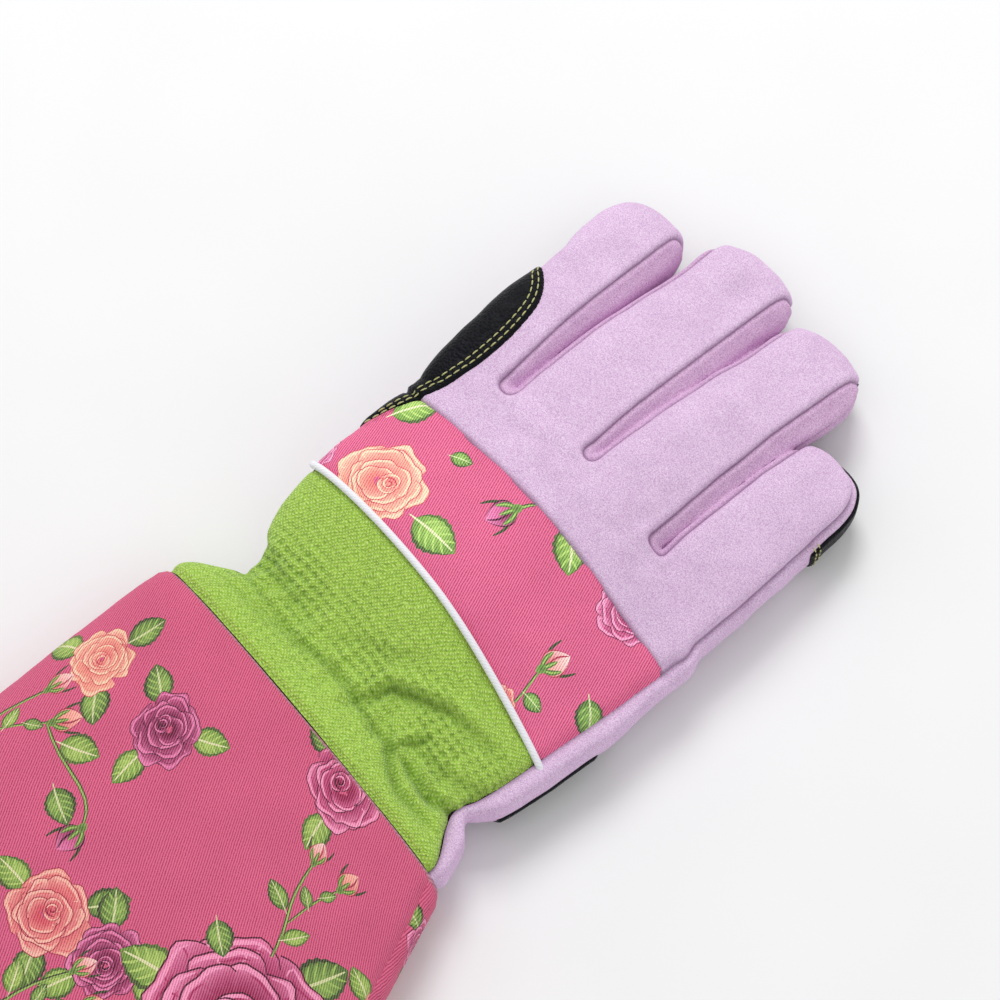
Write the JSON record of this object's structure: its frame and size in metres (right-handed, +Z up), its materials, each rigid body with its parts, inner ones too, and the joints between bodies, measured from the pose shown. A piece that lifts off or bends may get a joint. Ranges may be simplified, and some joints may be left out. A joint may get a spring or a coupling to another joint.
{
  "type": "pruning gauntlet glove",
  "caption": "Hollow right-hand work glove with a long flared cuff, gathered knit wrist, printed panels, grained patches and a thumb folded under the palm.",
  "frame": {"origin": "middle of the underside's bounding rectangle, at the level it lies on", "axes": "+Y from the cuff towards the fingertips, +X towards the little finger's side, +Z up out of the back of the hand"},
  "size_m": [0.1956, 0.413, 0.0397],
  "materials": {
    "lilac_suede": "soft napped synthetic suede, lilac",
    "side_suede": "soft napped synthetic suede, a darker lilac",
    "cuff_twill": "matte diagonal twill, rose pink with a print of roses, buds and leaves",
    "back_twill": "matte diagonal twill, rose pink with a print of roses, buds and leaves",
    "green_knit": "gathered matte knit, leaf green",
    "white_piping": "smooth woven cord, white",
    "black_patch": "black grained soft synthetic leather, low sheen"
  },
  "bodies": {
    "root": {"cuff_back": "cuff_twill", "cuff_palm": "cuff_twill", "back_panel": "back_twill", "wrist_band": "green_knit", "piping": "white_piping", "back_suede": "lilac_suede", "palm_suede": "lilac_suede", "thumb": "lilac_suede", "fourchette_index_middle": "side_suede", "fourchette_middle_ring": "side_suede", "fourchette_ring_little": "side_suede", "web_patch": "black_patch", "palm_patch": "black_patch", "index_tip_patch": "black_patch", "middle_tip_patch": "black_patch", "ring_tip_patch": "black_patch", "little_tip_patch": "black_patch"}
  },
  "joints": []
}
